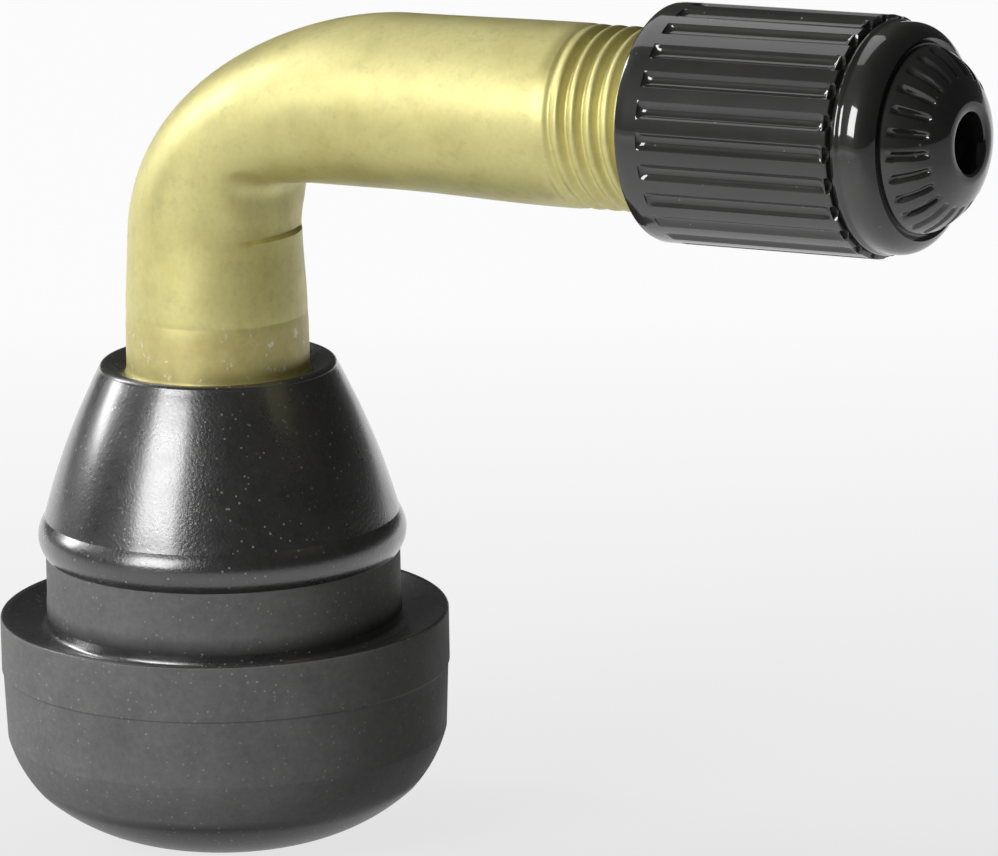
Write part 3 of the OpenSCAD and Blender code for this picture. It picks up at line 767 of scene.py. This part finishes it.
# Camera: fitted to the photo's outline, with the target's place in the image in pixels
cam_az, cam_el, cam_roll = math.radians(33.109), math.radians(14.129), math.radians(-1.081)
cam_dist, px_per_mm = 1000.0 / 3.0, 23.692
centre_x, centre_y = 454.27, 460.60
image_w, image_h = 998.0, 856.0
sensor_w = 36.0
target = Vector((12.0, 0.0, 8.0))
front = Vector((math.sin(cam_az), -math.cos(cam_az), 0.0))
right = Vector((math.cos(cam_az), math.sin(cam_az), 0.0))
back = front * math.cos(cam_el) + Vector((0.0, 0.0, math.sin(cam_el)))
up = back.cross(right)
cam_x = right * math.cos(cam_roll) + up * math.sin(cam_roll)
cam_y = up * math.cos(cam_roll) - right * math.sin(cam_roll)
cam_data = bpy.data.cameras.new("camera")
cam = bpy.data.objects.new("camera", cam_data)
bpy.context.scene.collection.objects.link(cam)
rot = Matrix((cam_x, cam_y, back)).transposed()
cam.matrix_world = Matrix.Translation((target + back * cam_dist) * MM) @ rot.to_4x4()
cam_data.sensor_fit = "HORIZONTAL"
cam_data.sensor_width = sensor_w
cam_data.lens = px_per_mm * cam_dist * sensor_w / image_w
cam_data.shift_x = (image_w / 2 - centre_x) / image_w
cam_data.shift_y = (centre_y - image_h / 2) / image_w
cam_data.clip_start = 0.01
bpy.context.scene.camera = cam

# Floor
floor_half, floor_gap = 3.0, 0.00002
white_near, white_far, white_aside, wedge_slope = 0.70, 0.96, 0.4, 1.6


def floor_material(name):
    mat, tree, bsdf, vec = new_material(name)
    tone = ramp(tree, noise(tree, vec, 3.0, 2.0), [(0.3, grey(0.36)), (0.7, grey(0.38))])
    tree.links.new(tone, bsdf.inputs["Base Color"])
    bsdf.inputs["Roughness"].default_value = 0.9
    bsdf.inputs["Specular IOR Level"].default_value = 0.1
    # seen directly or in a reflection, the floor is partly plain white, and the rest keeps the shadow
    rays = tree.nodes.new("ShaderNodeLightPath").outputs
    seen = calc(tree, "ADD", rays["Is Camera Ray"], rays["Is Glossy Ray"])
    seen = calc(tree, "ADD", seen, rays["Is Transmission Ray"], clamp=True)
    behind = reach_along(tree, vec, tuple(-front))
    far = ramp(tree, map_range(tree, behind, -0.03, 0.10), [(0.0, grey(white_near)), (1.0, grey(white_far))])
    # the white keeps to a wedge behind the part, so that the part's sides mirror the plain floor
    aside = calc(tree, "ABSOLUTE", reach_along(tree, vec, tuple(right)))
    inward = calc(tree, "MULTIPLY_ADD", aside, -wedge_slope, behind)
    wedge = ramp(tree, map_range(tree, inward, -0.26, -0.07), [(0.0, grey(white_aside)), (1.0, grey(1.0))])
    white = tree.nodes.new("ShaderNodeEmission")
    white.inputs["Strength"].default_value = 1.0
    shown = tree.nodes.new("ShaderNodeMixShader")
    tree.links.new(both(tree, both(tree, far, wedge), seen), shown.inputs["Fac"])
    tree.links.new(bsdf.outputs["BSDF"], shown.inputs[1])
    tree.links.new(white.outputs["Emission"], shown.inputs[2])
    out = [n for n in tree.nodes if n.type == "OUTPUT_MATERIAL"][0]
    tree.links.new(shown.outputs["Shader"], out.inputs["Surface"])
    return mat


floor_z = foot_z * MM - floor_gap
corners = ((-1, -1), (1, -1), (1, 1), (-1, 1))
floor_mesh = bpy.data.meshes.new("floor")
floor_mesh.from_pydata([(x * floor_half, y * floor_half, floor_z) for x, y in corners], [], [(0, 1, 2, 3)])
floor = bpy.data.objects.new("floor", floor_mesh)
bpy.context.scene.collection.objects.link(floor)
dress(floor, floor_material("pale_floor"))

# Soft studio light
lamp_focus = Vector((0.010, 0.0, 0.008))


def softbox(name, left_deg, height_deg, distance, width, height, watts):
    """A lamp placed by its angle to the left of the camera and its height."""
    a, e = math.radians(left_deg), math.radians(height_deg)
    way = (front * math.cos(a) - right * math.sin(a)) * math.cos(e) + Vector((0, 0, math.sin(e)))
    data = bpy.data.lights.new(name, "AREA")
    data.shape = "RECTANGLE"
    data.size, data.size_y = width, height
    data.energy = watts
    obj = bpy.data.objects.new(name, data)
    bpy.context.scene.collection.objects.link(obj)
    turn = way.to_track_quat("Z", "Y").to_matrix().to_4x4()
    obj.matrix_world = Matrix.Translation(lamp_focus + way * distance) @ turn


softbox("key_left", left_deg=46.0, height_deg=25.0, distance=0.45, width=0.22, height=0.21, watts=1.42)
softbox("back_left", left_deg=114.0, height_deg=26.0, distance=0.50, width=0.11, height=0.27, watts=1.05)
softbox("top_back", left_deg=150.0, height_deg=52.0, distance=0.60, width=0.36, height=0.30, watts=0.36)
world = bpy.data.worlds.new("studio")
world.use_nodes = True
sky = world.node_tree.nodes["Background"]
sky.inputs["Color"].default_value = (1.0, 1.0, 1.0, 1.0)
sky.inputs["Strength"].default_value = 0.05
bpy.context.scene.world = world
bpy.context.scene.view_settings.view_transform = "Standard"
